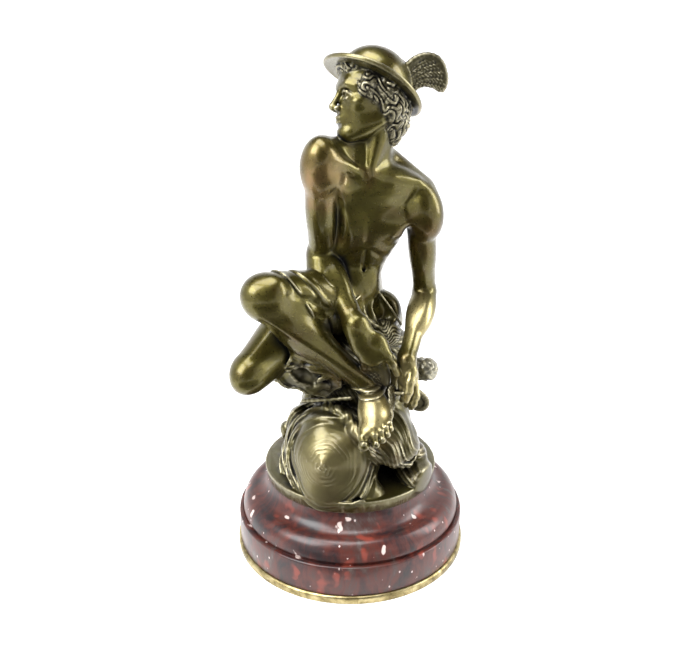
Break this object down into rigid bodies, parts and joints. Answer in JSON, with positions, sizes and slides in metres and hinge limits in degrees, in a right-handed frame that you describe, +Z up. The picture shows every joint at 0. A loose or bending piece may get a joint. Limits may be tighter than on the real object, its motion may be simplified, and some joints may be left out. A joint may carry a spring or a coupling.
{
  "type": "bronze statuette of mercury tying his sandal",
  "caption": "Seated nude youth in a winged hat tying a winged sandal on a rocky stump, a cast bronze on a turned red marble plinth with a brass foot ring.",
  "frame": {"origin": "centre of the marble plinth's flat underside", "axes": "+Z up; -Y the way the figure's chest and the sandalled foot face; +X to the viewer's right when facing the chest"},
  "size_m": [0.223, 0.223, 0.4603],
  "materials": {
    "brass": "aged satin",
    "marble": "polished red marble with grey mottling and white flecks",
    "bronze": "glossy olive-brown patina with rubbed golden highlights"
  },
  "bodies": {
    "root": {"brass_base_ring": "brass", "marble_plinth": "marble", "bronze_mercury": "bronze"}
  },
  "joints": []
}
